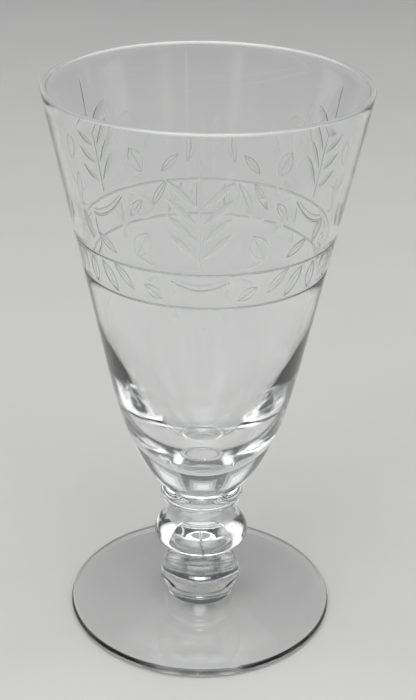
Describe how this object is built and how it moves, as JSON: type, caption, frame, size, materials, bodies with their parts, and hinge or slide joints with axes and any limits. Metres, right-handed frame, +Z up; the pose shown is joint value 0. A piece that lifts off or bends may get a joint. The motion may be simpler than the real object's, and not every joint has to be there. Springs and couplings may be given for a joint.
{
  "type": "wine glass",
  "caption": "Clear crystal wine glass with a tall conical bowl, a short stem of stacked round knops and a thin disc foot.",
  "frame": {"origin": "centre of the circle that the foot stands on, on the table plane", "axes": "+Z up along the axis of the glass; the glass is turned, so X and Y are free; the engraving's main spray faces -Y"},
  "size_m": [0.0834, 0.0834, 0.155],
  "materials": {
    "clear_crystal": "fire-polished clear crystal; a band of grey matt wheel engraving round the upper bowl"
  },
  "bodies": {
    "root": {"foot": "clear_crystal", "lower_knop": "clear_crystal", "middle_knop": "clear_crystal", "collar": "clear_crystal", "bowl": "clear_crystal"}
  },
  "joints": []
}
